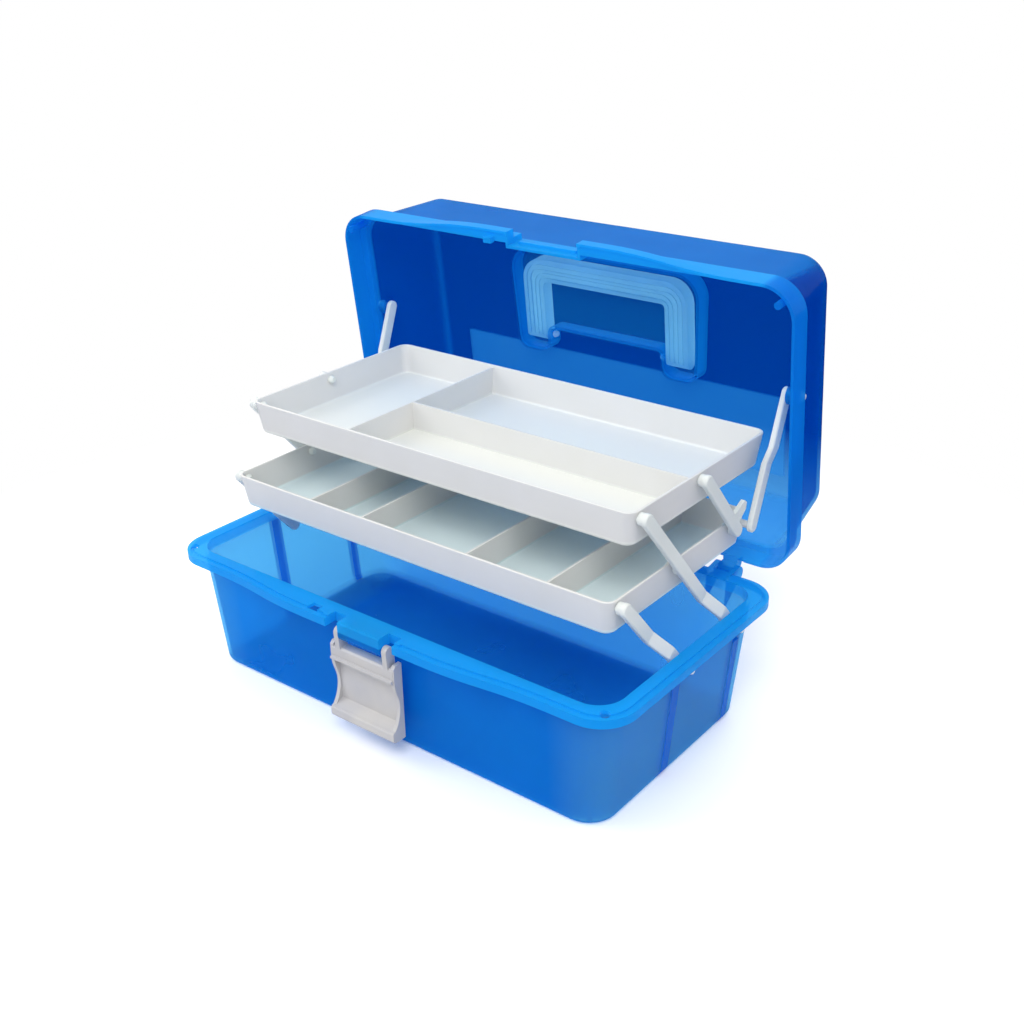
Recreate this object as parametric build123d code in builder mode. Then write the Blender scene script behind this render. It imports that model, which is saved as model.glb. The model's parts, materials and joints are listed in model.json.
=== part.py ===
"""Three-tier storage box: a clear-tinted bin and lid with two trays that rise on swinging arms.

Millimetres. X runs along the box from left to right, Y from front to rear, Z up. The origin is the
centre of the underside. The box stands open: the lid leans back and the trays are raised.
Lid sizes are given as they lie with the box closed, and the lid's planes turn them to the open lid.
"""
import os
from math import atan2, cos, degrees, hypot, radians, sin

from build123d import *

# Walls and rims
WALL = 1.8
FLOOR = 2.0
RIM_HALF_X = 155.0            # inner edge of the rim
RIM_HALF_Y = 77.5
CORNER_R = 16.0               # inner corners of bin and lid
FLANGE_OUT = 10.5             # how far the flange stands out from the rim's inner edge
FLANGE_T = 2.0
SKIRT_T = 1.8
SKIRT_H = 4.0                 # skirt past the flange plate
NOSE_Y = -93.5                # the front flanges bow out to here at the middle
BOW_FLAT = 45.0
BOW_END = 125.0
NOTCH_HALF = 25.5             # latch notch in both front flanges
NOTCH_Y = -85.0
STEP_W = 3.7                  # step along the flange's outer edge, where the lid locates
STEP_H = 1.0

# Bin
BIN_H = 79.0
BIN_FOOT_X = 149.3            # outer half sizes at the underside
BIN_FOOT_Y = 76.0
BIN_EDGE_R = 4.0

# Lid, closed
RIM_GAP = 0.4
LID_RIM = BIN_H + RIM_GAP
LID_BAND_X = 164.0            # outer half sizes of the upright band round the rim
LID_BAND_Y = 88.4
LID_BAND_R = 20.0
LID_BAND_H = 13.8
LID_WALL_X = 158.5            # outer half sizes where the wall leaves the band's ledge
LID_WALL_Y = 84.4
LID_TOP = 149.5
LID_HEAD_X = 149.5            # outer half sizes at the top
LID_HEAD_Y = 83.2
LID_HEAD_BACK = 1.5           # the top lies a little to the rear of the rim
LID_EDGE_R = 7.0
HINGE_Y = 95.2
HINGE_Z = 75.5
LID_OPEN = 83.5               # degrees from closed

# Lid hinges
HINGE_X = 125.0
STRAP_W = 9.6
LUG_GAP = 10.4
LUG_T = 3.0
LUG_R = 4.6
ROD_R = 2.4
BORE_R = 2.5
KNUCKLE_R = 4.5
SNAP_W = 4.2

# Trays
TRAY_HALF_X = 139.8
TRAY_DEPTH = 140.4
TRAY_H = 20.5
TRAY_WALL = 1.6
TRAY_DRAFT = 2.6
TRAY_CORNER_R = 6.5
TRAY_RIM_R = 0.6
TRAY_ROOM_R = 1.5
DIVIDER_T = 1.4
DIVIDER_DROP = 1.5            # dividers stop short of the rim
PIN_DROP = 4.6                # pivots below the tray rim
PIN_INSET = 7.2               # front pivot behind the tray's front

# Arms
ARM_W = 7.6
ARM_T = 3.5
ARM_EDGE_R = 1.0
HUB_R = 3.5
PIN_R = 2.2
PIN_HOLE_R = 2.25
BARB_R = 2.6                  # pin heads inside the trays
BARB_L = 2.2
KNOB_R = 3.0                  # pin heads outside bin and lid
KNOB_L = 2.8
ARM_OPEN = 49.5               # degrees above level, pointing forward
LOWER_ARM = 70.5              # pivot to pivot
UPPER_ARM = 56.5
BASE_PIN_Y = 0.5
BASE_PIN_Z = 64.8
LOWER_SPACING = 54.5          # front arm to long arm
UPPER_SPACING = 59.0          # long arm to rear arm
INNER_LAYER = 142.3           # inner faces of the arms beside the trays
LID_ARM_LAYER = 146.1
LID_ARM_TOP = 148.0
BASE_LAYER = 149.2            # inner faces of the arms' feet beside the bin's wall
LID_PIN_Y = -17.8             # lid arm's pivot in the closed lid
LID_PIN_Z = 98.9
TRAY_STUD_BACK = 10.0         # lid arm's lower pivot behind the rear arm's

# Latch
LATCH_Y = -89.5
LATCH_Z = 70.5
LATCH_HALF = 24.5
LATCH_LENGTH = 56.0
LATCH_T = 2.0
BLOCK_HALF = 16.0
BLOCK_R = 4.0
BLOCK_EDGE = 1.2
PRONG_IN = 16.6
PRONG_T = 3.5
PRONG_R = 3.2
NUB_R = 2.0
NUB_HOLE_R = 2.05
NUB_L = 3.0

# Handle and its pocket in the lid, closed
POCKET_DEPTH = 13.0
POCKET_FRONT = -58.3
POCKET_NOTCH = -8.8
POCKET_REAR = 8.2
POCKET_HALF = 70.0
POCKET_LOBE_IN = 45.5
POCKET_LOBE_OUT = 67.0
POCKET_R = 14.0
LOBE_R = 6.0
HANDLE_HALF = 62.5
HANDLE_LEG_IN = 46.5
HANDLE_FRONT = -53.8
HANDLE_BAR = 15.0
HANDLE_Y = -1.3
HANDLE_Z = 141.7
HANDLE_T = 9.0

os.makedirs("parts", exist_ok=True)

SIDES = (-1, 1)
TILT = radians(LID_OPEN)


def opened(y, z):
    """Place of a point of the closed lid's section once the lid is open."""
    back, up = y - HINGE_Y, z - HINGE_Z
    return HINGE_Y + back * cos(TILT) + up * sin(TILT), HINGE_Z - back * sin(TILT) + up * cos(TILT)


LID_FRAME = Plane(origin=(0, *opened(0, 0)), x_dir=(1, 0, 0), z_dir=(0, sin(TILT), cos(TILT)))


def lid_section(x):
    """Upright plane across the lid, whose own axes are the closed box's Y and Z."""
    return Plane(origin=(x, *opened(0, 0)), x_dir=(0, cos(TILT), -sin(TILT)), z_dir=(1, 0, 0))


def drafted_block(frame, low, low_half, high, high_half, corner, edge_level=None, edge_r=0.0, shift=0.0):
    """Rounded block between two levels of a frame; one edge is rounded, the high level shifted back."""
    with BuildPart() as block:
        for level, half, back in ((low, low_half, 0), (high, high_half, shift)):
            with BuildSketch(frame.offset(level)):
                with Locations((0, back)):
                    RectangleRounded(2 * half[0], 2 * half[1], corner)
        loft(ruled=True)
        if edge_level is not None:
            up = Axis(frame.origin, frame.z_dir)
            ends = block.faces().sort_by(up)
            fillet((ends[0] if edge_level == low else ends[-1]).edges(), edge_r)
    return block.part


def rim_outline(half_x, half_y, corner, bow, inset=0.0):
    """Outline of a rim with the latch notch, its front bowed or straight, drawn in by an inset."""
    front = -half_y
    nose = NOSE_Y if bow else front

    def bend(side):
        return side * (BOW_FLAT + BOW_END) / 2, (front + nose) / 2

    with BuildSketch() as outline:
        RectangleRounded(2 * half_x, 2 * half_y, corner)
        if bow:
            with BuildLine():
                for side in SIDES:
                    TangentArc((side * BOW_END, front), bend(side), tangent=(-side, 0))
                    TangentArc((side * BOW_FLAT, nose), bend(side), tangent=(side, 0))
                Line((-BOW_FLAT, nose), (BOW_FLAT, nose))
                Polyline((BOW_END, front), (BOW_END, 0), (-BOW_END, 0), (-BOW_END, front))
            make_face()
        with Locations((0, nose)):
            Rectangle(2 * NOTCH_HALF, 2 * (NOTCH_Y - nose), mode=Mode.SUBTRACT)
        if inset:
            offset(amount=-inset, kind=Kind.INTERSECTION, mode=Mode.REPLACE)
    return outline.sketch


def bin_outline(inset=0.0):
    """Outline of the bin's flange."""
    return rim_outline(RIM_HALF_X + FLANGE_OUT, RIM_HALF_Y + FLANGE_OUT, CORNER_R + 6, True, inset)


def lid_outline(bow, inset=0.0):
    """Outline of the lid's band, or of its bowed flange."""
    return rim_outline(LID_BAND_X, LID_BAND_Y, LID_BAND_R, bow, inset)


def pin_holes(frame_section, places, inner, depth, radius=PIN_HOLE_R):
    """Round holes along X through both end walls, at places given as Y and Z."""
    for side in SIDES:
        start = inner if side > 0 else -inner - depth
        with BuildSketch(frame_section(start)) as holes:
            with Locations(*places):
                Circle(radius)
        extrude(holes.sketch, amount=depth, mode=Mode.SUBTRACT)


def bin_section(x):
    """Upright plane across the bin, whose own axes are Y and Z."""
    return Plane.YZ.offset(x)


# Places of the arm pivots with the box open, as Y and Z
def along(start, length, angle):
    """Point a length from the start, at an angle above level pointing forward."""
    return start[0] - length * cos(radians(angle)), start[1] + length * sin(radians(angle))


FRONT_FOOT = (BASE_PIN_Y, BASE_PIN_Z)
LONG_FOOT = (BASE_PIN_Y + LOWER_SPACING, BASE_PIN_Z)
FRONT_HEAD = along(FRONT_FOOT, LOWER_ARM, ARM_OPEN)
LONG_MIDDLE = along(LONG_FOOT, LOWER_ARM, ARM_OPEN)
REAR_FOOT = (LONG_MIDDLE[0] + UPPER_SPACING, LONG_MIDDLE[1])
LONG_HEAD = along(LONG_MIDDLE, UPPER_ARM, ARM_OPEN)
REAR_HEAD = along(REAR_FOOT, UPPER_ARM, ARM_OPEN)
TRAY_STUD = (REAR_FOOT[0] + TRAY_STUD_BACK, REAR_FOOT[1])
LID_PIN = opened(LID_PIN_Y, LID_PIN_Z)


# Bin
BLOCK_FRONT = LATCH_Y - BLOCK_R
WALL_TOP_X = RIM_HALF_X + WALL
WALL_TOP_Y = RIM_HALF_Y + WALL
BIN_INNER_X = BIN_FOOT_X - WALL
BIN_INNER_Y = BIN_FOOT_Y - WALL
RIB_T = 1.0
FRONT_RIB = (-16.0, -8.5, BIN_H - FLANGE_T - SKIRT_H + 1)     # from Y, to Y, height
REAR_RIB = (50.0, 56.0, 58.0)
SLOT_X = -38.8
SLOT_Y = -87.6
SLOT_SIZE = (7.4, 5.2)
PEG_X = RIM_HALF_X
PEG_Y = RIM_HALF_Y + 1.1
PEG_HOLE_R = 2.6

bin_hull = drafted_block(Plane.XY, 0, (BIN_FOOT_X, BIN_FOOT_Y), BIN_H - 0.5, (WALL_TOP_X, WALL_TOP_Y),
                         CORNER_R + WALL, edge_level=0, edge_r=BIN_EDGE_R)
bin_room = drafted_block(Plane.XY, FLOOR, (BIN_INNER_X, BIN_INNER_Y), BIN_H, (RIM_HALF_X, RIM_HALF_Y),
                         CORNER_R, edge_level=FLOOR, edge_r=BIN_EDGE_R - 1)
rib_hull = drafted_block(Plane.XY, BIN_EDGE_R, (BIN_FOOT_X + RIB_T, BIN_FOOT_Y), BIN_H - 0.5,
                         (WALL_TOP_X + RIB_T, WALL_TOP_Y), CORNER_R + WALL)

with BuildPart() as end_ribs:
    add(rib_hull)
    with BuildSketch(Plane.XY):
        for start, end, _ in (FRONT_RIB, REAR_RIB):
            with Locations((0, (start + end) / 2)):
                Rectangle(2 * (WALL_TOP_X + 5), end - start)
    extrude(amount=BIN_H, mode=Mode.INTERSECT)
    with BuildSketch(Plane.XY.offset(REAR_RIB[2])):
        with Locations((0, (REAR_RIB[0] + REAR_RIB[1]) / 2)):
            Rectangle(2 * (WALL_TOP_X + 5), 2 * (REAR_RIB[1] - REAR_RIB[0]))
    extrude(amount=BIN_H, mode=Mode.SUBTRACT)

with BuildPart() as base_bin:
    add(bin_hull)
    add(end_ribs.part)
    # flange plate and its skirt
    with BuildSketch(Plane.XY.offset(BIN_H - FLANGE_T)):
        add(bin_outline())
    extrude(amount=FLANGE_T)
    with BuildSketch(Plane.XY.offset(BIN_H - FLANGE_T - SKIRT_H)):
        add(bin_outline())
        add(bin_outline(SKIRT_T), mode=Mode.SUBTRACT)
    extrude(amount=SKIRT_H)
    # hinge lugs with their gussets, and the moulded rods between them
    for side in SIDES:
        for cheek in SIDES:
            start = side * HINGE_X + cheek * LUG_GAP / 2 - (LUG_T if cheek < 0 else 0)
            with BuildSketch(bin_section(start)):
                Polygon((RIM_HALF_Y + 0.5, 58), (HINGE_Y, HINGE_Z - LUG_R), (HINGE_Y, HINGE_Z + LUG_R),
                        (RIM_HALF_Y + FLANGE_OUT, BIN_H), (RIM_HALF_Y + 0.5, BIN_H), align=None)
                with Locations((HINGE_Y, HINGE_Z)):
                    Circle(LUG_R)
            extrude(amount=LUG_T)
        with BuildSketch(bin_section(side * HINGE_X - LUG_GAP / 2 - 0.5)):
            with Locations((HINGE_Y, HINGE_Z)):
                Circle(ROD_R)
        extrude(amount=LUG_GAP + 1)
    # block that carries the latch
    with BuildSketch(bin_section(-BLOCK_HALF)):
        Polygon((-RIM_HALF_Y - 1, BIN_H), (BLOCK_FRONT + BLOCK_EDGE, BIN_H),
                (BLOCK_FRONT, BIN_H - BLOCK_EDGE), (BLOCK_FRONT, LATCH_Z), (LATCH_Y, LATCH_Z - BLOCK_R),
                (-RIM_HALF_Y - 1, LATCH_Z - BLOCK_R), align=None)
        with Locations((LATCH_Y, LATCH_Z)):
            Circle(BLOCK_R)
    extrude(amount=2 * BLOCK_HALF)
    # room inside
    add(bin_room, mode=Mode.SUBTRACT)
    # step along the flange's outer edge
    with BuildSketch(Plane.XY.offset(BIN_H - STEP_H)):
        add(bin_outline())
        add(bin_outline(STEP_W), mode=Mode.SUBTRACT)
        with Locations((0, NOTCH_Y)):
            Rectangle(2 * NOTCH_HALF + 8, 12, mode=Mode.SUBTRACT)
        for side in SIDES:
            with Locations((side * HINGE_X, RIM_HALF_Y + FLANGE_OUT)):
                Rectangle(LUG_GAP + 2 * LUG_T, 12, mode=Mode.SUBTRACT)
    extrude(amount=STEP_H + 1, mode=Mode.SUBTRACT)
    # slot for the lid's tab, and holes for its corner pegs
    with BuildSketch(Plane.XY.offset(BIN_H)):
        with Locations((SLOT_X, SLOT_Y)):
            Rectangle(*SLOT_SIZE)
        with Locations(*[(side * PEG_X, -PEG_Y) for side in SIDES]):
            Circle(PEG_HOLE_R)
    extrude(amount=-FLANGE_T - 1, mode=Mode.SUBTRACT)
    # pivot holes
    pin_holes(bin_section, [FRONT_FOOT, LONG_FOOT], RIM_HALF_X - 5, 8)
    pin_holes(bin_section, [(LATCH_Y, LATCH_Z)], BLOCK_HALF - 3.5, 5, NUB_HOLE_R)
    # ring marks under the corners
    with BuildSketch(Plane.XY):
        with GridLocations(2 * (BIN_FOOT_X - 20), 2 * (BIN_FOOT_Y - 20), 2, 2):
            Circle(6)
            Circle(4.8, mode=Mode.SUBTRACT)
    extrude(amount=0.5, mode=Mode.SUBTRACT)

base_bin.part.label = "base_bin"
export_step(base_bin.part, "parts/base_bin.step")


# Lid
LEDGE = LID_RIM + LID_BAND_H
POCKET_FLOOR = LID_TOP - POCKET_DEPTH
POCKET_TAPER = 4
TAB_SIZE = (5.6, 3.6)
TAB_L = 3.6
PEG_R = 2.2
PEG_L = 3.0                   # peg past the rim
BOSS_R = 6.0
BOSS_FACE = LID_ARM_TOP + ARM_T + 0.3
BOSS_END = 156.2
CATCH_HALF = 21.0
CATCH_Z = 84.0
CATCH_SIZE = (1.7, 2.1)
LABEL_SIZE = (248, 54)
LABEL_Y = 39.7
LABEL_DEPTH = 0.5

lid_hull = drafted_block(LID_FRAME, LEDGE - FLANGE_T / 2, (LID_WALL_X, LID_WALL_Y), LID_TOP,
                         (LID_HEAD_X, LID_HEAD_Y), CORNER_R + WALL, edge_level=LID_TOP, edge_r=LID_EDGE_R,
                         shift=LID_HEAD_BACK)
lid_room = drafted_block(LID_FRAME, LEDGE - FLANGE_T - 0.5, (LID_WALL_X - WALL, LID_WALL_Y - WALL),
                         LID_TOP - FLOOR, (LID_HEAD_X - WALL, LID_HEAD_Y - WALL), CORNER_R,
                         edge_level=LID_TOP - FLOOR, edge_r=LID_EDGE_R - WALL, shift=LID_HEAD_BACK)


def pocket_outline(grow=0.0):
    """Outline of the handle's pocket: a wide front and two lobes for the handle's ends."""
    half = POCKET_HALF + grow
    out = POCKET_LOBE_OUT + grow
    inner = POCKET_LOBE_IN - grow
    front, notch, rear = POCKET_FRONT - grow, POCKET_NOTCH + grow, POCKET_REAR + grow
    corners = [(0, front), (half, front), (out, rear), (inner, rear), (inner, notch), (0, notch)]
    with BuildSketch() as pocket:
        with BuildLine():
            FilletPolyline(*corners, radius=[POCKET_R + grow, LOBE_R + grow, LOBE_R + grow, LOBE_R - grow])
            Line((0, notch), (0, front))
        make_face()
        mirror(about=Plane.YZ)
    return pocket.sketch


with BuildPart() as lid:
    add(lid_hull)
    # band round the rim, closed above by the ledge that the wall stands on
    with BuildSketch(LID_FRAME.offset(LID_RIM)):
        add(lid_outline(bow=False))
    extrude(amount=LID_BAND_H)
    # front flange, its skirt and the lip that drops onto the bin's step
    with BuildSketch(LID_FRAME.offset(LID_RIM)):
        add(lid_outline(bow=True))
    extrude(amount=FLANGE_T)
    with BuildSketch(LID_FRAME.offset(LID_RIM + FLANGE_T)):
        add(lid_outline(bow=True))
        add(lid_outline(bow=True, inset=SKIRT_T), mode=Mode.SUBTRACT)
    extrude(amount=SKIRT_H)
    with BuildSketch(LID_FRAME.offset(LID_RIM)):
        add(lid_outline(bow=True))
        add(lid_outline(bow=True, inset=SKIRT_T), mode=Mode.SUBTRACT)
        with Locations((0, NOTCH_Y)):
            Rectangle(2 * NOTCH_HALF + 10, 12, mode=Mode.SUBTRACT)
        for side in SIDES:
            with Locations((side * HINGE_X, LID_BAND_Y)):
                Rectangle(LUG_GAP + 2 * LUG_T + 2, 12, mode=Mode.SUBTRACT)
    extrude(amount=-(STEP_H - RIM_GAP))
    # room inside
    with BuildSketch(LID_FRAME.offset(LID_RIM - 2)):
        add(lid_outline(bow=False, inset=SKIRT_T))
    extrude(amount=LID_BAND_H - FLANGE_T + 2, mode=Mode.SUBTRACT)
    add(lid_room, mode=Mode.SUBTRACT)
    # ridge that the latch hooks over
    with BuildSketch(lid_section(-CATCH_HALF)):
        with Locations((NOTCH_Y - CATCH_SIZE[0] / 2 + 0.5, CATCH_Z + CATCH_SIZE[1] / 2)):
            Rectangle(CATCH_SIZE[0] + 1, CATCH_SIZE[1])
    extrude(amount=2 * CATCH_HALF)
    # bosses on the end walls for the lid arms
    for side in SIDES:
        with BuildSketch(lid_section(BOSS_FACE if side > 0 else -BOSS_END)):
            with Locations((LID_PIN_Y, LID_PIN_Z)):
                Circle(BOSS_R)
        extrude(amount=BOSS_END - BOSS_FACE)
    # straps that hook round the hinge rods
    for side in SIDES:
        with BuildSketch(lid_section(side * HINGE_X - STRAP_W / 2)):
            Polygon((LID_BAND_Y - 1, LID_RIM), (HINGE_Y - KNUCKLE_R, LID_RIM),
                    (HINGE_Y - KNUCKLE_R, HINGE_Z), (HINGE_Y + KNUCKLE_R, HINGE_Z),
                    (HINGE_Y + KNUCKLE_R, LID_RIM - 1),
                    (HINGE_Y - 1, LID_RIM + 5), (LID_BAND_Y - 1, LID_RIM + 7), align=None)
            with Locations((HINGE_Y, HINGE_Z)):
                Circle(KNUCKLE_R)
                Circle(BORE_R, mode=Mode.SUBTRACT)
            with Locations((HINGE_Y, HINGE_Z - KNUCKLE_R)):
                Rectangle(SNAP_W, 2 * KNUCKLE_R, mode=Mode.SUBTRACT)
        extrude(amount=STRAP_W)
    # pocket for the handle
    with BuildSketch(LID_FRAME.offset(POCKET_FLOOR - WALL)):
        add(pocket_outline(WALL))
    extrude(amount=POCKET_DEPTH, taper=-POCKET_TAPER)
    with BuildSketch(LID_FRAME.offset(POCKET_FLOOR)):
        add(pocket_outline())
    extrude(amount=POCKET_DEPTH + 1, taper=-POCKET_TAPER, mode=Mode.SUBTRACT)
    # tab and pegs that drop into the bin's flange
    with BuildSketch(LID_FRAME.offset(LID_RIM)):
        with Locations((SLOT_X, SLOT_Y)):
            Rectangle(*TAB_SIZE)
    extrude(amount=-TAB_L)
    with BuildSketch(LID_FRAME.offset(LEDGE - FLANGE_T)):
        with Locations(*[(side * PEG_X, -PEG_Y) for side in SIDES]):
            Circle(PEG_R)
    extrude(amount=-(LEDGE - FLANGE_T - LID_RIM + PEG_L))
    # shallow field in the top
    with BuildSketch(LID_FRAME.offset(LID_TOP - LABEL_DEPTH)):
        with Locations((0, LABEL_Y)):
            RectangleRounded(*LABEL_SIZE, 3)
    extrude(amount=LABEL_DEPTH + 1, mode=Mode.SUBTRACT)
    # pivot holes for the lid arms and the handle
    pin_holes(lid_section, [(LID_PIN_Y, LID_PIN_Z)], BOSS_FACE - 1, 9)
    pin_holes(lid_section, [(HANDLE_Y, HANDLE_Z)], POCKET_LOBE_IN - 5, 6)

lid.part.label = "lid"
export_step(lid.part, "parts/lid.step")


# Trays
def make_tray(front, rim, cross, lengthwise, pivots, studs):
    """Open tray with integral dividers, pivot holes in its end walls and outside studs."""
    centre = front + TRAY_DEPTH / 2
    frame = Plane(origin=(0, centre, rim - TRAY_H))
    half_x, half_y = TRAY_HALF_X, TRAY_DEPTH / 2
    outer = drafted_block(frame, 0, (half_x - TRAY_DRAFT, half_y - TRAY_DRAFT), TRAY_H, (half_x, half_y),
                          TRAY_CORNER_R, edge_level=0, edge_r=2.0)
    inset = TRAY_DRAFT + TRAY_WALL
    room = drafted_block(frame, TRAY_WALL, (half_x - inset, half_y - inset), TRAY_H,
                         (half_x - TRAY_WALL, half_y - TRAY_WALL), TRAY_CORNER_R - TRAY_WALL,
                         edge_level=TRAY_WALL, edge_r=TRAY_ROOM_R)
    height = TRAY_H - TRAY_WALL - DIVIDER_DROP
    with BuildPart() as dividers:
        with BuildSketch(frame.offset(TRAY_WALL - 0.2)):
            for x in cross:
                with Locations((x, 0)):
                    Rectangle(DIVIDER_T, TRAY_DEPTH)
            for y, start in lengthwise:
                with Locations(((start + TRAY_HALF_X) / 2, y)):
                    Rectangle(TRAY_HALF_X - start, DIVIDER_T)
        extrude(amount=height + 0.2)
        add(outer, mode=Mode.INTERSECT)
    with BuildPart() as tray:
        add(outer)
        add(room, mode=Mode.SUBTRACT)
        fillet(tray.edges().group_by(Axis.Z)[-1], TRAY_RIM_R)
        add(dividers.part)
        for side in SIDES:
            for y, z in studs:
                start = TRAY_HALF_X - 1.6 if side > 0 else -STUD_FACE
                with BuildSketch(bin_section(start)):
                    with Locations((y, z)):
                        Circle(STUD_R)
                extrude(amount=STUD_FACE - TRAY_HALF_X + 1.6)
        pin_holes(bin_section, pivots, TRAY_HALF_X - 4, 6)
    return tray


STUD_R = 2.2
STUD_FACE = LID_ARM_LAYER - 0.3

lower_tray = make_tray(FRONT_HEAD[0] - PIN_INSET, FRONT_HEAD[1] + PIN_DROP, (-77.0, -35.5, 43.0, 98.0), (),
                       [FRONT_HEAD, LONG_MIDDLE, REAR_FOOT], [TRAY_STUD])
lower_tray.part.label = "lower_tray"
export_step(lower_tray.part, "parts/lower_tray.step")

upper_tray = make_tray(LONG_HEAD[0] - PIN_INSET, LONG_HEAD[1] + PIN_DROP, (-60.0,), [(-10.6, -60.0)],
                       [LONG_HEAD, REAR_HEAD], [])
upper_tray.part.label = "upper_tray"
export_step(upper_tray.part, "parts/upper_tray.step")


# Arms
TRAY_FACE = TRAY_HALF_X + 0.3              # hub faces stand off the tray walls
TRAY_BARB = TRAY_HALF_X - TRAY_WALL - 1.6
BASE_FACE = BASE_LAYER + ARM_T
EAR = ((-6, 12), (5, 17), (7.5, 15), (6.5, 11), (-1, 5))     # rearward and up from the foot
BASE_KNOB = 156.0
LID_KNOB = 158.2


def arm_plane(start, end):
    """Plane along an arm, with its own X along the arm and its own Y along the box."""
    length = hypot(end[0] - start[0], end[1] - start[1])
    step = ((end[0] - start[0]) / length, (end[1] - start[1]) / length)
    return Plane(origin=(0, *start), x_dir=(0, *step), z_dir=(0, step[1], -step[0])), length


def add_hub(place, inner, outer):
    """Round hub along X, from an inner face into the bar."""
    with BuildSketch(bin_section(inner)) as disc:
        with Locations(place):
            Circle(HUB_R)
    extrude(disc.sketch, amount=outer - inner + ARM_EDGE_R)


def add_pin(place, face, barb, outward, radius=BARB_R, length=BARB_L):
    """Snap pin: a shank from the hub's face to the far side of the wall, and a tapered head."""
    with BuildSketch(bin_section(face)) as shank:
        with Locations(place):
            Circle(PIN_R)
    extrude(shank.sketch, amount=barb - face)
    with BuildSketch(bin_section(barb)) as head:
        with Locations(place):
            Circle(radius)
    extrude(head.sketch, amount=outward * length, taper=24)


def make_bar(start, end, path):
    """Bar with round ends and edges; the path gives its inner face as distances along it and X."""
    frame, length = arm_plane(start, end)
    inner = [(length + HUB_R + 1 if distance is None else distance, x) for distance, x in path]
    outer = [(distance, x + ARM_T) for distance, x in reversed(inner)]
    with BuildPart() as bar:
        with BuildSketch(frame) as side_view:
            Polygon(*inner, *outer, align=None)
        extrude(side_view.sketch, amount=ARM_W, both=True)
        middle = ((start[0] + end[0]) / 2, (start[1] + end[1]) / 2)
        angle = degrees(atan2(end[1] - start[1], end[0] - start[0]))
        with BuildSketch(bin_section(INNER_LAYER - 5)) as front_view:
            with Locations(Location(middle, angle)):
                SlotCenterToCenter(length, ARM_W)
        extrude(front_view.sketch, amount=30, mode=Mode.INTERSECT)
        fillet(bar.edges(), ARM_EDGE_R)
    return bar.part


def export_pair(right, name):
    """Write the right-hand arm, and its mirror image for the left."""
    with BuildPart() as left:
        mirror(right.part, about=Plane.YZ)
    for piece, side in ((right, "right"), (left, "left")):
        piece.part.label = f"{name}_{side}"
        export_step(piece.part, f"parts/{name}_{side}.step")


# Paths of the arms' inner faces, from beyond one round end to beyond the other
FOOT_PATH = [(-ARM_W, BASE_LAYER), (20, BASE_LAYER), (36, INNER_LAYER), (None, INNER_LAYER)]
REAR_PATH = [(-ARM_W, INNER_LAYER), (None, INNER_LAYER)]
LID_PATH = [(-ARM_W, LID_ARM_LAYER), (36, LID_ARM_LAYER), (46, LID_ARM_TOP), (None, LID_ARM_TOP)]

with BuildPart() as front_arm:
    add(make_bar(FRONT_FOOT, FRONT_HEAD, FOOT_PATH))
    add_pin(FRONT_FOOT, BASE_FACE, BASE_KNOB, 1, KNOB_R, KNOB_L)
    add_hub(FRONT_HEAD, TRAY_FACE, INNER_LAYER)
    add_pin(FRONT_HEAD, TRAY_FACE, TRAY_BARB, -1)
export_pair(front_arm, "front_arm")

with BuildPart() as long_arm:
    add(make_bar(LONG_FOOT, LONG_HEAD, FOOT_PATH))
    add_pin(LONG_FOOT, BASE_FACE, BASE_KNOB, 1, KNOB_R, KNOB_L)
    for pivot in (LONG_MIDDLE, LONG_HEAD):
        add_hub(pivot, TRAY_FACE, INNER_LAYER)
        add_pin(pivot, TRAY_FACE, TRAY_BARB, -1)
export_pair(long_arm, "long_arm")

with BuildPart() as rear_arm:
    add(make_bar(REAR_FOOT, REAR_HEAD, REAR_PATH))
    for pivot in (REAR_FOOT, REAR_HEAD):
        add_hub(pivot, TRAY_FACE, INNER_LAYER)
        add_pin(pivot, TRAY_FACE, TRAY_BARB, -1)
    # ear that leans toward the lid arm
    with BuildSketch(bin_section(INNER_LAYER + 0.5)):
        Polygon(*[(REAR_FOOT[0] + back, REAR_FOOT[1] + up) for back, up in EAR], align=None)
    extrude(amount=ARM_T - 1)
export_pair(rear_arm, "rear_arm")

with BuildPart() as lid_arm:
    add(make_bar(TRAY_STUD, LID_PIN, LID_PATH))
    add_pin(LID_PIN, LID_ARM_TOP + ARM_T, LID_KNOB, 1, KNOB_R, KNOB_L)
export_pair(lid_arm, "lid_arm")


# Handle, folded into its pocket
GROOVE_STEP = 3.2
GROOVE_W = 0.9
GROOVE_D = 0.7
HANDLE_LOW = HANDLE_Z - HANDLE_T / 2
HANDLE_CORNER = 15.0
HANDLE_INNER_CORNER = 3.0
HANDLE_BARB = POCKET_LOBE_IN - WALL - 1.0
GROOVES = 2


def handle_outline(draw_in=0.0):
    """U of the handle, its outside and inside both drawn in."""
    outer = HANDLE_HALF - draw_in
    inner = HANDLE_LEG_IN + draw_in
    front = HANDLE_FRONT + draw_in
    bar = HANDLE_FRONT + HANDLE_BAR - draw_in
    reach = 100.0
    with BuildSketch() as outline:
        with Locations((0, front + reach / 2)):
            RectangleRounded(2 * outer, reach, HANDLE_CORNER - draw_in)
        with Locations((0, bar + reach / 2)):
            RectangleRounded(2 * inner, reach, HANDLE_INNER_CORNER + draw_in, mode=Mode.SUBTRACT)
        with Locations((0, HANDLE_Y + reach / 2)):
            Rectangle(4 * outer, reach, mode=Mode.SUBTRACT)
    return outline.sketch


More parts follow.
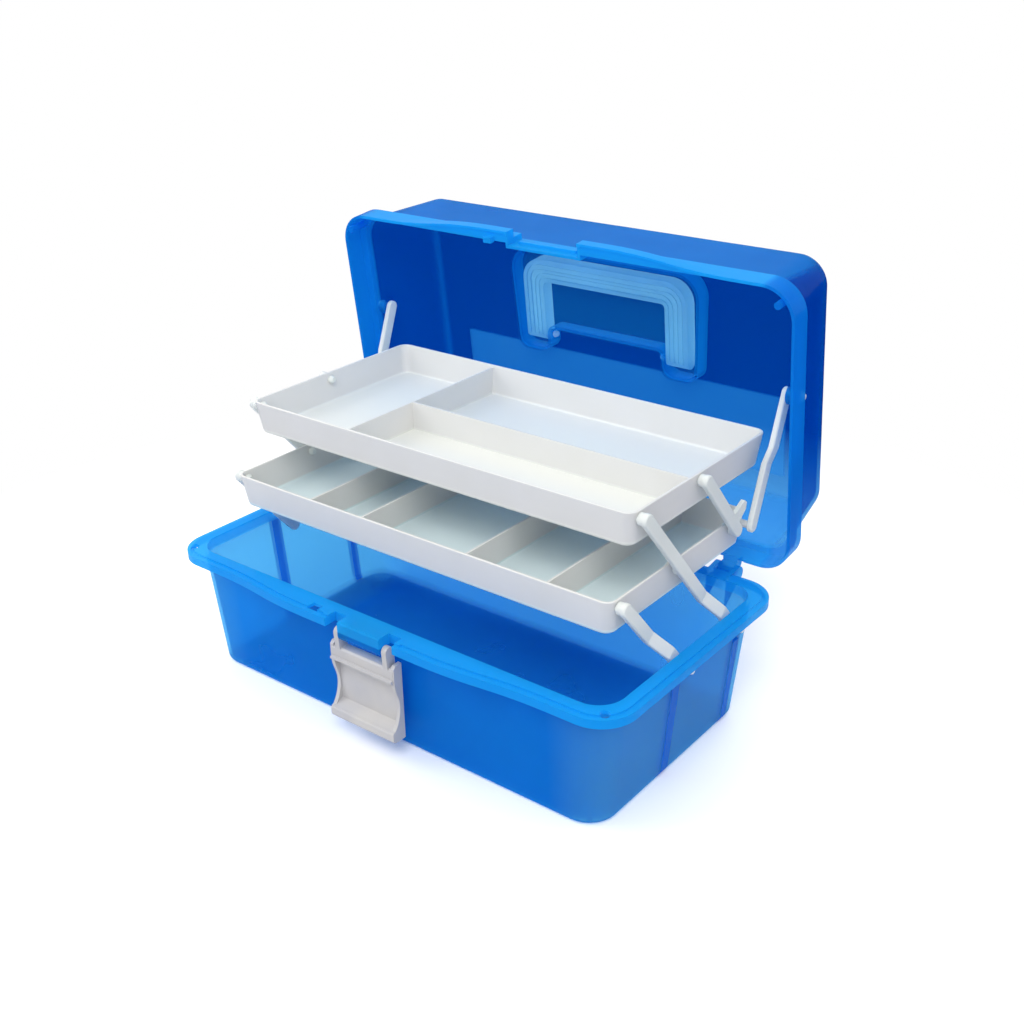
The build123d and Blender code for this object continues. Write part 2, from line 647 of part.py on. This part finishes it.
with BuildPart() as handle:
    with BuildSketch(LID_FRAME.offset(HANDLE_LOW)):
        add(handle_outline())
    extrude(amount=HANDLE_T)
    for side in SIDES:
        leg = HANDLE_LEG_IN if side > 0 else -HANDLE_HALF
        with BuildSketch(lid_section(leg)):
            with Locations((HANDLE_Y, HANDLE_Z)):
                Circle(HANDLE_T / 2)
        extrude(amount=HANDLE_HALF - HANDLE_LEG_IN)
        # snap pins that point inward through the pocket's inner walls
        with BuildSketch(lid_section(side * HANDLE_LEG_IN)):
            with Locations((HANDLE_Y, HANDLE_Z)):
                Circle(PIN_R)
        extrude(amount=-side * (HANDLE_LEG_IN - HANDLE_BARB))
        with BuildSketch(lid_section(side * HANDLE_BARB)):
            with Locations((HANDLE_Y, HANDLE_Z)):
                Circle(BARB_R)
        extrude(amount=-side * BARB_L, taper=24)
    # grooves that follow the U on both faces
    for face in (HANDLE_LOW, HANDLE_LOW + HANDLE_T - GROOVE_D):
        for ring in range(1, GROOVES + 1):
            with BuildSketch(LID_FRAME.offset(face)):
                add(handle_outline(ring * GROOVE_STEP - GROOVE_W / 2))
                add(handle_outline(ring * GROOVE_STEP + GROOVE_W / 2), mode=Mode.SUBTRACT)
            extrude(amount=GROOVE_D, mode=Mode.SUBTRACT)

handle.part.label = "handle"
export_step(handle.part, "parts/handle.step")


# Latch, hanging open in front of the bin
HOOK_START = 15.9             # distances from the pivot
HOOK_L = 1.7
BAR_START = 9.4
BAR_IN = 2.5                  # how far the cross bar stands toward the pivot's rear
SKIN_OUT = 4.0                # skin's outer face in front of the pivot, latch closed
FLANK_T = 2.4
LIP_IN = 5.8
LIP_START = LATCH_LENGTH - 10.0


def hanging(points):
    """Latch points given as closed (toward the box, up) turned to hang straight down."""
    return [(LATCH_Y - toward, LATCH_Z - up) for toward, up in points]


def latch_slab(half, points):
    """Add a slab across the latch from a section."""
    with BuildSketch(bin_section(-half)) as section:
        Polygon(*hanging(points), align=None)
    extrude(section.sketch, amount=2 * half)


with BuildPart() as latch:
    # skin, cross bar with its hook, and lip
    latch_slab(LATCH_HALF, [(-SKIN_OUT, BAR_START), (-SKIN_OUT + LATCH_T, BAR_START),
                            (-SKIN_OUT + LATCH_T, LATCH_LENGTH), (-SKIN_OUT, LATCH_LENGTH)])
    latch_slab(LATCH_HALF - 1, [(-SKIN_OUT, BAR_START), (BAR_IN - 1, BAR_START), (BAR_IN, BAR_START + 1.2),
                                (BAR_IN, HOOK_START), (BAR_IN + HOOK_L, HOOK_START + 0.4),
                                (BAR_IN + HOOK_L, HOOK_START + 1.6), (BAR_IN - 0.5, HOOK_START + 3.4),
                                (-SKIN_OUT, HOOK_START + 3.4)])
    latch_slab(LATCH_HALF, [(-SKIN_OUT, LATCH_LENGTH), (-SKIN_OUT, LIP_START),
                            (-SKIN_OUT + LATCH_T, LIP_START), (LIP_IN - 2, LIP_START + 2.6),
                            (LIP_IN - 0.6, LIP_START + 3.1), (LIP_IN, LIP_START + 4.2),
                            (LIP_IN, LATCH_LENGTH - 2), (LIP_IN - 0.6, LATCH_LENGTH - 0.6),
                            (LIP_IN - 2, LATCH_LENGTH)])
    # flanks: deep at the bar, shallow at the waist and deep again at the lip
    for side in SIDES:
        start = LATCH_HALF - FLANK_T if side > 0 else -LATCH_HALF
        with BuildSketch(bin_section(start)):
            with BuildLine():
                near, far = hanging([(-SKIN_OUT, BAR_START - 2.4), (-SKIN_OUT, LATCH_LENGTH)])
                corner, shoulder = hanging([(BAR_IN - 2, BAR_START - 2.4), (BAR_IN - 0.2, BAR_START - 0.6)])
                elbow, waist = hanging([(BAR_IN - 0.2, HOOK_START + 1), (-0.8, 31)])
                lip, tip = hanging([(LIP_IN - 2, LIP_START + 2.6), (LIP_IN - 2, LATCH_LENGTH)])
                Polyline(elbow, shoulder, corner, near, far, tip, lip)
                Spline(lip, waist, elbow, tangents=[(1, 1.2), (0, 1)])
            make_face()
        extrude(amount=FLANK_T)
        # prongs with their nubs
        start = PRONG_IN if side > 0 else -PRONG_IN - PRONG_T
        with BuildSketch(bin_section(start)):
            Polygon(*hanging([(-PRONG_R, 0), (PRONG_R, 0), (BAR_IN, BAR_START + 1.5),
                              (-SKIN_OUT, BAR_START + 1.5)]), align=None)
            with Locations((LATCH_Y, LATCH_Z)):
                Circle(PRONG_R)
        extrude(amount=PRONG_T)
        with BuildSketch(bin_section(side * PRONG_IN)):
            with Locations((LATCH_Y, LATCH_Z)):
                Circle(NUB_R)
        extrude(amount=-side * NUB_L)

latch.part.label = "latch"
export_step(latch.part, "parts/latch.step")
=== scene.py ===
"""Looks of the three-tier storage box: a see-through blue bin and lid, white trays and milky arms."""
import json
import math

import bpy
from mathutils import Matrix, Vector


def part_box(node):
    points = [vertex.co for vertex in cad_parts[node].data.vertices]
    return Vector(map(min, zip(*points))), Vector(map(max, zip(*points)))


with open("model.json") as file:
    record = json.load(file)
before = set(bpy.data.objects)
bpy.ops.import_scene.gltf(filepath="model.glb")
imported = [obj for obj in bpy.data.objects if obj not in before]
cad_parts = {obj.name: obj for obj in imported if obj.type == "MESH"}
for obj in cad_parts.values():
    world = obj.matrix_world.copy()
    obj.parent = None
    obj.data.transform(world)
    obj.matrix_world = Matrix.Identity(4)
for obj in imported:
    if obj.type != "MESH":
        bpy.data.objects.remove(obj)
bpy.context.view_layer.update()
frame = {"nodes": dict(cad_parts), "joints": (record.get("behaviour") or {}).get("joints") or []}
MM = 0.001
X_AXIS = (1, 0, 0)
Y_AXIS = (0, 1, 0)
Z_AXIS = (0, 0, 1)

# The camera: its place in metres, its turns in degrees and its focal length in pixels of a 1024 wide picture
EYE = (0.4553, -0.5278, 0.4434)
YAW = 38.44
PITCH = -25.23
ROLL = -1.03
FOCAL = 1304.2
PICTURE = 1024
SENSOR = 36.0

# Lamps: name, place, size in metres, power in watts, and whether glossy surfaces mirror it
LAMPS = (
    ("key", (0.9, -1.4, 1.9), 1.2, 30, True),
    ("fill", (-1.6, -0.9, 1.3), 1.4, 16, True),
    ("rear", (-0.5, 1.7, 1.1), 1.2, 16, False),
)
LAMP_AIM = (0, 0, 0.1)
WORLD_LEVEL = 0.88                # the world's strength as a light; where it is seen or mirrored it is 1

# The stage. Seen directly, the floor is pale near the box and fades to plain white between two distances.
# Through clear plastic the far floor and the world are a dim blue room, and the floor beside the bin glows a
# little. Reflections show the far floor dim as well.
STAGE_HALF = 6.0
FLOOR_FADE = (0.3, 0.5)
FLOOR_SEEN = (0.98, 0.98, 0.98)
FLOOR_PALE = (0.82, 0.82, 0.83)
PLAIN_WHITE = (1, 1, 1)
ROOM_BLUE = (0.004, 0.05, 0.25)
NEAR_GLOW = 0.34
FOOTPRINT = (0.155, 0.082)        # half sizes of the floor under the bin, where nothing glows
GLOW_EDGE = 0.01                  # the glow sets in over this width inside them
NO_CLEAR_WALL = 0.5               # the transparent depth is under this where nothing clear was passed

# Colours, linear
BLUE_BODY = (0.01, 0.4, 0.94)
# painted light: the brighter blue of the bin's flange and skirt, the lid's band and flange, and the pocket's
# walls
BLUE_PAINTED_LIGHT = (0.02, 0.52, 0.96)
BLUE_RIB = (0.0, 0.2, 0.74)
# painted shade: the ends of the lid's band are darker than the rest of the band
BLUE_BAND_PAINTED_SHADE = (0.01, 0.36, 0.9)
BLUE_SHEEN = (0.2, 0.62, 1.0)
# painted shade: the darker blue of the lid's top and end walls
BLUE_PAINTED_SHADE = (0.0, 0.14, 0.62)
# painted light: the paler blue of the bin's end walls
BLUE_ENDS_PAINTED_LIGHT = (0.17, 0.56, 0.82)
# the shallow field in the lid's top, lighter than the painted shade around it
BLUE_FIELD = (0.05, 0.42, 0.88)
BLUE_TINT = (0.32, 0.68, 0.9)
WINDOW_TINT = (0.55, 0.82, 0.93)
WHITE = (0.8, 0.795, 0.78)
CREAM = (0.78, 0.775, 0.75)
# painted light: the trays' floors are tinted and lighter than their walls, for light that comes up through
# them
AQUA_FLOOR_PAINTED_LIGHT = (0.8, 0.91, 0.9)
PALE_FLOOR_PAINTED_LIGHT = (0.86, 0.87, 0.83)
MILKY = (0.88, 0.9, 0.87)
MILKY_SHADE = (0.84, 0.87, 0.84)
FROST = (0.9, 0.98, 1.0)
FROST_TINT = (0.85, 0.93, 0.96)
LATCH_GREY = (0.39, 0.39, 0.42)
LATCH_PALE = (0.46, 0.45, 0.44)

# Finish of the plastics; the noise scales are per metre
PLASTIC_IOR = 1.49
SOLID_GLOSS = 0.5
CLEAR_GLOSS = 0.18
NOISE_RANGE = (0.3, 0.7)          # noise between these values is spread over its full effect
MOTTLE_DETAIL = 3.0
BUMP_DETAIL = 2.0
SOLID_MOTTLE = 35.0
SOLID_SHEEN = 90.0
SHEEN_DROP = 0.05                 # how far the roughness falls and rises
SHEEN_RISE = 0.07
CLEAR_MOTTLE = 22.0
CLEAR_SHADE = 0.92                # the darker patches of a clear body, as a share of its colour
CLEAR_FLOW = 14.0
FLOW_SPREAD = 0.03                # how far the solidity falls and rises
# Bumps: noise scale, depth in metres, strength
GRAIN = (2500.0, 0.04 * MM, 0.4)
RIPPLE = (160.0, 0.1 * MM, 0.25)
EDGE_ROUND = 0.7 * MM
EDGE_SAMPLES = 4

# Places on the lid: levels inward from its hinge, reaches along its top toward the hinge, and half lengths
LID_TURN = math.radians(83.5)
LID_HINGE = Vector(next(j["pos_m"] for j in frame["joints"] if j["name"] == "lid_hinge"))
LID_INWARD = Vector((0, math.sin(LID_TURN), math.cos(LID_TURN)))
LID_BACKWARD = Vector((0, math.cos(LID_TURN), -math.sin(LID_TURN)))
LID_LEDGE = 17.7 * MM
LEDGE_SOFT = 3.0 * MM
LID_ENDS = (144.0 * MM, 148.0 * MM)
LID_PANEL = 56.0 * MM             # the pocket's floor and the top lie past this level
PANEL_RISE = 1.0 * MM
PANEL_HALF = 143.0 * MM
PANEL_REACH = (-171.0 * MM, -16.0 * MM)
PANEL_SOFT = 3.0 * MM
POCKET_HALF = 76.0 * MM
POCKET_REACH = (-160.0 * MM, -81.0 * MM)
POCKET_SOFT = 1.0 * MM
POCKET_FLOOR = 61.2 * MM
POCKET_TOP = 71.6 * MM
FLOOR_SOFT = 0.2 * MM
FIELD_HALF = 124.0 * MM           # the shallow field in the lid's top
FIELD_REACH = (-82.5 * MM, -28.5 * MM)
STEP_SOFT = 0.3 * MM

# Places on the bin: the skirt's lower edge with its soft end, the end walls from where their shade sets in to
# where it is full, and the ribs outside them, each from where to where along Y, and how far out they begin
BIN_SKIRT = (72.0 * MM, 73.0 * MM)
END_WALLS = (118.0 * MM, 152.0 * MM)
BIN_RIBS = ((-16.0 * MM, -8.5 * MM), (50.0 * MM, 56.0 * MM))
RIB_OUT = 146.0 * MM

# A tray's floor: its thickness, and between which heights over it its tint of painted light fades
TRAY_FLOOR = 1.6 * MM
TRAY_FADE = (0.3 * MM, 1.5 * MM)

# Colour sockets of Blender's Mix node
MIX_FIRST = 6
MIX_SECOND = 7
MIX_RESULT = 2


def node_tree(name):
    """A new material with its node tree and output."""
    material = bpy.data.materials.new(name)
    material.use_nodes = True
    tree = material.node_tree
    tree.nodes.clear()
    output = tree.nodes.new("ShaderNodeOutputMaterial")
    return material, tree, output


def feed(tree, value, socket):
    """Give a socket what another socket gives, or a fixed number or colour."""
    if isinstance(value, bpy.types.NodeSocket):
        tree.links.new(value, socket)
    elif isinstance(value, (int, float)):
        socket.default_value = value
    else:
        socket.default_value = (*value, 1)


def noise(tree, scale, detail):
    """Noise over the piece's own coordinates, in metres."""
    coords = tree.nodes.new("ShaderNodeTexCoord")
    texture = tree.nodes.new("ShaderNodeTexNoise")
    feed(tree, scale, texture.inputs["Scale"])
    feed(tree, detail, texture.inputs["Detail"])
    feed(tree, coords.outputs["Object"], texture.inputs["Vector"])
    return texture.outputs["Fac"]


def along(tree, direction, start=(0, 0, 0)):
    """Distance in metres along a direction from a place, over the piece's own coordinates."""
    coords = tree.nodes.new("ShaderNodeTexCoord")
    shift = tree.nodes.new("ShaderNodeVectorMath")
    shift.operation = "SUBTRACT"
    shift.inputs[1].default_value = start
    dot = tree.nodes.new("ShaderNodeVectorMath")
    dot.operation = "DOT_PRODUCT"
    dot.inputs[1].default_value = direction
    feed(tree, coords.outputs["Object"], shift.inputs[0])
    feed(tree, shift.outputs["Vector"], dot.inputs[0])
    return dot.outputs["Value"]


def combine(tree, operation, first, second=0.0):
    """One number from two, each a socket or a fixed number."""
    node = tree.nodes.new("ShaderNodeMath")
    node.operation = operation
    feed(tree, first, node.inputs[0])
    feed(tree, second, node.inputs[1])
    return node.outputs[0]


def across(tree):
    """Distance in metres from the middle of the box's length, toward either end."""
    return combine(tree, "ABSOLUTE", along(tree, X_AXIS))


def ramp(tree, source, low, high, start, end):
    """A number that turns from low to high while a source goes from start to end."""
    spread = tree.nodes.new("ShaderNodeMapRange")
    feed(tree, start, spread.inputs["From Min"])
    feed(tree, end, spread.inputs["From Max"])
    feed(tree, low, spread.inputs["To Min"])
    feed(tree, high, spread.inputs["To Max"])
    feed(tree, source, spread.inputs["Value"])
    return spread.outputs["Result"]


def mottle(tree, scale, low, high):
    """A number that wanders between low and high over the surface."""
    return ramp(tree, noise(tree, scale, MOTTLE_DETAIL), low, high, *NOISE_RANGE)


def blend(tree, factor, first, second):
    """A colour that turns by a factor from a first one into a second one."""
    mix = tree.nodes.new("ShaderNodeMix")
    mix.data_type = "RGBA"
    feed(tree, first, mix.inputs[MIX_FIRST])
    feed(tree, second, mix.inputs[MIX_SECOND])
    feed(tree, factor, mix.inputs["Factor"])
    return mix.outputs[MIX_RESULT]


def bump(tree, scale, depth, strength):
    """A bump node with a fine noise as its height."""
    node = tree.nodes.new("ShaderNodeBump")
    feed(tree, depth, node.inputs["Distance"])
    feed(tree, strength, node.inputs["Strength"])
    feed(tree, noise(tree, scale, BUMP_DETAIL), node.inputs["Height"])
    return node


def soft_edges(tree, node):
    """Give a bump node normals that are rounded along sharp edges, where moulded plastic catches light."""
    edge = tree.nodes.new("ShaderNodeBevel")
    edge.samples = EDGE_SAMPLES
    feed(tree, EDGE_ROUND, edge.inputs["Radius"])
    feed(tree, edge.outputs["Normal"], node.inputs["Normal"])


def light_path(tree, *names):
    """The largest of some answers of the light path."""
    path = tree.nodes.new("ShaderNodeLightPath")
    most = path.outputs[names[0]]
    for name in names[1:]:
        most = combine(tree, "MAXIMUM", most, path.outputs[name])
    return most


def principled(tree, roughness, gloss):
    """The plastic's own shader."""
    shader = tree.nodes.new("ShaderNodeBsdfPrincipled")
    feed(tree, roughness, shader.inputs["Roughness"])
    feed(tree, PLASTIC_IOR, shader.inputs["IOR"])
    feed(tree, gloss, shader.inputs["Specular IOR Level"])
    return shader


def mix_shaders(tree, factor, first, second):
    """A shader between two, by a factor."""
    mix = tree.nodes.new("ShaderNodeMixShader")
    feed(tree, factor, mix.inputs["Fac"])
    feed(tree, first, mix.inputs[1])
    feed(tree, second, mix.inputs[2])
    return mix.outputs["Shader"]


def lit_from_behind(tree, shader, glow, colour):
    """The plastic's own shader with a share of light that comes through the wall in a colour."""
    through = tree.nodes.new("ShaderNodeBsdfTranslucent")
    feed(tree, colour, through.inputs["Color"])
    return mix_shaders(tree, glow, shader.outputs["BSDF"], through.outputs["BSDF"])


def solid_plastic(name, colour, shade, roughness, glow=0.0, floor=None, floor_painted_light=None):
    """White, milky or grey plastic with a faint mottle and a fine moulded grain.

    glow is the share of the light that comes through its thin walls. floor is the level in metres of a tray's
    floor, and the colour after it is painted light on that floor: a tint of the light that comes up through
    it.
    """
    material, tree, output = node_tree(name)
    shader = principled(tree, roughness, SOLID_GLOSS)
    tinted = blend(tree, mottle(tree, SOLID_MOTTLE, 0, 1), colour, shade)
    if floor is not None:
        low = ramp(tree, along(tree, Z_AXIS, (0, 0, floor)), 1, 0, *TRAY_FADE)
        tinted = blend(tree, low, tinted, floor_painted_light)
    sheen = mottle(tree, SOLID_SHEEN, roughness - SHEEN_DROP, roughness + SHEEN_RISE)
    feed(tree, tinted, shader.inputs["Base Color"])
    feed(tree, sheen, shader.inputs["Roughness"])
    feed(tree, bump(tree, *GRAIN).outputs["Normal"], shader.inputs["Normal"])
    feed(tree, lit_from_behind(tree, shader, glow, tinted), output.inputs["Surface"])
    return material


def clear_plastic(name, body, tint, solidity, roughness, zones=(), glow=0.45, window=None):
    """See-through tinted plastic: part of the light passes with the tint, the rest meets the tinted body.

    solidity is the share that meets the body, and glow the part of that share that comes through the wall.
    Each zone is a function that gives a factor over the surface, with the colour and the solidity there.
    window is one such function with the lighter tint of what is seen through it.
    """
    material, tree, output = node_tree(name)
    shader = principled(tree, roughness, CLEAR_GLOSS)
    feed(tree, BLUE_SHEEN, shader.inputs["Specular Tint"])
    colour = blend(tree, mottle(tree, CLEAR_MOTTLE, 0, 1), body, [CLEAR_SHADE * part for part in body])
    share = mottle(tree, CLEAR_FLOW, solidity - FLOW_SPREAD, solidity + FLOW_SPREAD)
    for zone, zone_colour, zone_solidity in zones:
        factor = zone(tree)
        colour = blend(tree, factor, colour, zone_colour)
        change = combine(tree, "SUBTRACT", zone_solidity, share)
        share = combine(tree, "ADD", share, combine(tree, "MULTIPLY", factor, change))
    ripple = bump(tree, *RIPPLE)
    soft_edges(tree, ripple)
    feed(tree, colour, shader.inputs["Base Color"])
    feed(tree, ripple.outputs["Normal"], shader.inputs["Normal"])
    clear = tree.nodes.new("ShaderNodeBsdfTransparent")
    feed(tree, tint, clear.inputs["Color"])
    if window is not None:
        area, window_tint = window
        feed(tree, blend(tree, area(tree), tint, window_tint), clear.inputs["Color"])
    inside = lit_from_behind(tree, shader, glow, colour)
    feed(tree, mix_shaders(tree, share, clear.outputs["BSDF"], inside), output.inputs["Surface"])
    return material


def lid_level(tree, low, high, start, soft):
    """A number that turns from low to high at a level inward from the lid's hinge."""
    return ramp(tree, along(tree, LID_INWARD, LID_HINGE), low, high, start, start + soft)


def lid_area(tree, half, reach, soft):
    """1 inside a rectangle seen square to the lid's top, with a soft edge outside it."""
    back = along(tree, LID_BACKWARD, LID_HINGE)
    sides = ramp(tree, across(tree), 1, 0, half, half + soft)
    front = ramp(tree, back, 0, 1, reach[0] - soft, reach[0])
    rear = ramp(tree, back, 1, 0, reach[1], reach[1] + soft)
    return combine(tree, "MULTIPLY", sides, combine(tree, "MULTIPLY", front, rear))


def lid_rim(tree):
    """1 on the lid's band and flange, 0 on its walls and top."""
    return lid_level(tree, 1, 0, LID_LEDGE, LEDGE_SOFT)


def lid_panel(tree):
    """1 on the lid's top and its pocket, 0 on its walls."""
    deep = lid_level(tree, 0, 1, LID_PANEL, PANEL_RISE)
    return combine(tree, "MULTIPLY", deep, lid_area(tree, PANEL_HALF, PANEL_REACH, PANEL_SOFT))


def lid_field(tree):
    """1 in the shallow field of the lid's top, 0 outside."""
    return combine(tree, "MULTIPLY", lid_panel(tree), lid_area(tree, FIELD_HALF, FIELD_REACH, STEP_SOFT))


def lid_ends(tree):
    """1 on the lid's end walls and the ends of its band."""
    return ramp(tree, across(tree), 0, 1, *LID_ENDS)


def band_ends(tree):
    """1 on the ends of the lid's band."""
    return combine(tree, "MULTIPLY", lid_ends(tree), lid_rim(tree))


def pocket_wall(tree):
    """1 on the pocket's upright walls, between its floor and the lid's top."""
    above_floor = lid_level(tree, 0, 1, POCKET_FLOOR, STEP_SOFT)
    below_top = lid_level(tree, 1, 0, POCKET_TOP, STEP_SOFT)
    tall = combine(tree, "MULTIPLY", above_floor, below_top)
    return combine(tree, "MULTIPLY", tall, lid_area(tree, POCKET_HALF, POCKET_REACH, POCKET_SOFT))


def pocket_floor(tree):
    """1 on the pocket's floor."""
    return combine(tree, "MULTIPLY", lid_level(tree, 1, 0, POCKET_FLOOR, FLOOR_SOFT), lid_panel(tree))


def end_walls(tree):
    """1 on the bin's end walls, fading along its front and rear."""
    return ramp(tree, across(tree), 0, 1, *END_WALLS)


def bin_ribs(tree):
    """1 on the ribs outside the bin's end walls and on the wall behind them."""
    out = combine(tree, "GREATER_THAN", across(tree), RIB_OUT)
    back = along(tree, Y_AXIS)
    strips = [combine(tree, "MULTIPLY", combine(tree, "GREATER_THAN", back, start),
                      combine(tree, "LESS_THAN", back, end)) for start, end in BIN_RIBS]
    return combine(tree, "MULTIPLY", out, combine(tree, "ADD", *strips))


def bin_rim(tree):
    """1 on the bin's flange and skirt, 0 below."""
    return ramp(tree, along(tree, Z_AXIS), 0, 1, *BIN_SKIRT)


def dress(node, material):
    """Give a CAD node its material."""
    slots = frame["nodes"][node].data.materials
    slots.clear()
    slots.append(material)


# Zones of the clear pieces, later ones over earlier ones: where, colour and solidity
BIN_ZONES = (
    # painted light on the bin's end walls
    (end_walls, BLUE_ENDS_PAINTED_LIGHT, 0.36),
    (bin_ribs, BLUE_RIB, 0.75),
    # painted light on the bin's flange and skirt
    (bin_rim, BLUE_PAINTED_LIGHT, 0.62),
)
LID_ZONES = (
    # painted shade on the lid's top
    (lid_panel, BLUE_PAINTED_SHADE, 0.22),
    # the shallow field keeps a lighter blue than the painted shade around it
    (lid_field, BLUE_FIELD, 0.38),
    # painted light on the pocket's walls
    (pocket_wall, BLUE_PAINTED_LIGHT, 0.5),
    (pocket_floor, BLUE_BODY, 0.1),
    # painted shade on the lid's end walls
    (lid_ends, BLUE_PAINTED_SHADE, 0.3),
    # painted light on the lid's band and flange
    (lid_rim, BLUE_PAINTED_LIGHT, 0.66),
    # painted shade on the ends of the lid's band
    (band_ends, BLUE_BAND_PAINTED_SHADE, 0.5),
)

# Materials on the CAD nodes
blue_bin = clear_plastic("blue_shell_bin", BLUE_BODY, BLUE_TINT, solidity=0.35, roughness=0.2,
                         zones=BIN_ZONES)
blue_lid = clear_plastic("blue_shell_lid", BLUE_BODY, BLUE_TINT, solidity=0.4, roughness=0.2,
                         zones=LID_ZONES, window=(pocket_floor, WINDOW_TINT))
milky = solid_plastic("natural_arm", MILKY, MILKY_SHADE, roughness=0.35, glow=0.3)
frost = clear_plastic("frosted_handle", FROST, FROST_TINT, solidity=0.85, roughness=0.35, glow=0.88)
pale = solid_plastic("pale_latch", LATCH_GREY, LATCH_PALE, roughness=0.42)

dress("base_bin", blue_bin)
dress("lid", blue_lid)
# the trays' floors take painted light
for node, floor_painted_light in (("lower_tray", AQUA_FLOOR_PAINTED_LIGHT), ("upper_tray", PALE_FLOOR_PAINTED_LIGHT)):
    floor_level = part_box(node)[0][2] + TRAY_FLOOR
    white = solid_plastic(f"white_{node}", WHITE, CREAM, roughness=0.4, glow=0.2, floor=floor_level,
                          floor_painted_light=floor_painted_light)
    dress(node, white)
for node in frame["nodes"]:
    if "_arm_" in node:
        dress(node, milky)
dress("handle", frost)
dress("latch", pale)


# Floor, backdrop and light
def seen_directly(tree):
    """1 for what the camera sees with nothing clear in between."""
    path = tree.nodes.new("ShaderNodeLightPath")
    bare = combine(tree, "LESS_THAN", path.outputs["Transparent Depth"], NO_CLEAR_WALL)
    return combine(tree, "MULTIPLY", path.outputs["Is Camera Ray"], bare)


def seen_through(tree):
    """1 for what the camera sees through clear plastic."""
    return combine(tree, "SUBTRACT", light_path(tree, "Is Camera Ray"), seen_directly(tree))


def near_floor(tree, place):
    """The floor near the box: it takes shadow, and beside the bin it glows where clear plastic shows it."""
    near = tree.nodes.new("ShaderNodeBsdfDiffuse")
    feed(tree, blend(tree, seen_directly(tree), FLOOR_PALE, FLOOR_SEEN), near.inputs["Color"])
    split = tree.nodes.new("ShaderNodeSeparateXYZ")
    feed(tree, place, split.inputs["Vector"])
    outside = [ramp(tree, combine(tree, "ABSOLUTE", split.outputs[axis]), 0, 1, half - GLOW_EDGE, half)
               for axis, half in enumerate(FOOTPRINT)]
    beside = combine(tree, "MULTIPLY", seen_through(tree), combine(tree, "MAXIMUM", *outside))
    glow = tree.nodes.new("ShaderNodeEmission")
    feed(tree, combine(tree, "MULTIPLY", beside, NEAR_GLOW), glow.inputs["Strength"])
    lit = tree.nodes.new("ShaderNodeAddShader")
    feed(tree, near.outputs["BSDF"], lit.inputs[0])
    feed(tree, glow.outputs["Emission"], lit.inputs[1])
    return lit.outputs["Shader"]


def far_floor(tree):
    """The floor farther off: plain white seen directly, and dim blue otherwise."""
    plain = tree.nodes.new("ShaderNodeEmission")
    feed(tree, blend(tree, seen_directly(tree), ROOM_BLUE, PLAIN_WHITE), plain.inputs["Color"])
    return plain.outputs["Emission"]


def make_stage():
    """A pale floor that keeps the object's shadow near it and is plain white farther off."""
    mesh = bpy.data.meshes.new("floor")
    corners = [(side * STAGE_HALF, end * STAGE_HALF, 0) for side, end in ((-1, -1), (1, -1), (1, 1), (-1, 1))]
    mesh.from_pydata(corners, [], [(0, 1, 2, 3)])
    floor = bpy.data.objects.new("floor", mesh)
    bpy.context.scene.collection.objects.link(floor)
    material, tree, output = node_tree("floor")
    place = tree.nodes.new("ShaderNodeTexCoord").outputs["Object"]
    length = tree.nodes.new("ShaderNodeVectorMath")
    length.operation = "LENGTH"
    feed(tree, place, length.inputs[0])
    away = ramp(tree, length.outputs["Value"], 0, 1, *FLOOR_FADE)
    both = mix_shaders(tree, away, near_floor(tree, place), far_floor(tree))
    feed(tree, both, output.inputs["Surface"])
    mesh.materials.append(material)


def make_world():
    """Even pale light, seen as white behind the object and as a dim room through its clear walls."""
    world = bpy.data.worlds.new("studio")
    bpy.context.scene.world = world
    world.use_nodes = True
    tree = world.node_tree
    background = tree.nodes["Background"]
    feed(tree, blend(tree, seen_through(tree), PLAIN_WHITE, ROOM_BLUE), background.inputs["Color"])
    full = light_path(tree, "Is Camera Ray", "Is Glossy Ray", "Is Transmission Ray")
    feed(tree, ramp(tree, full, WORLD_LEVEL, 1, 0, 1), background.inputs["Strength"])


def make_lamp(name, place, size, power, mirrored):
    """A soft square lamp that points at the box; glossy surfaces may mirror it or not."""
    lamp = bpy.data.lights.new(name, "AREA")
    lamp.shape = "SQUARE"
    lamp.size = size
    lamp.energy = power
    holder = bpy.data.objects.new(name, lamp)
    bpy.context.scene.collection.objects.link(holder)
    holder.visible_glossy = mirrored
    holder.location = place
    holder.rotation_euler = (Vector(LAMP_AIM) - Vector(place)).to_track_quat("-Z", "Y").to_euler()


def make_camera():
    """The camera at the photograph's viewing angle."""
    yaw, pitch, roll = (math.radians(angle) for angle in (YAW, PITCH, ROLL))
    ahead = Vector((-math.sin(yaw) * math.cos(pitch), math.cos(yaw) * math.cos(pitch), math.sin(pitch)))
    level = ahead.cross(Vector(Z_AXIS)).normalized()
    above = level.cross(ahead)
    right = level * math.cos(roll) + above * math.sin(roll)
    up = above * math.cos(roll) - level * math.sin(roll)
    data = bpy.data.cameras.new("camera")
    data.sensor_width = SENSOR
    data.lens = FOCAL / PICTURE * SENSOR
    camera = bpy.data.objects.new("camera", data)
    bpy.context.scene.collection.objects.link(camera)
    turn = Matrix((right, up, -ahead)).transposed().to_4x4()
    camera.matrix_world = Matrix.Translation(EYE) @ turn
    bpy.context.scene.camera = camera


make_stage()
make_world()
for lamp in LAMPS:
    make_lamp(*lamp)
make_camera()
bpy.context.scene.view_settings.view_transform = "Standard"
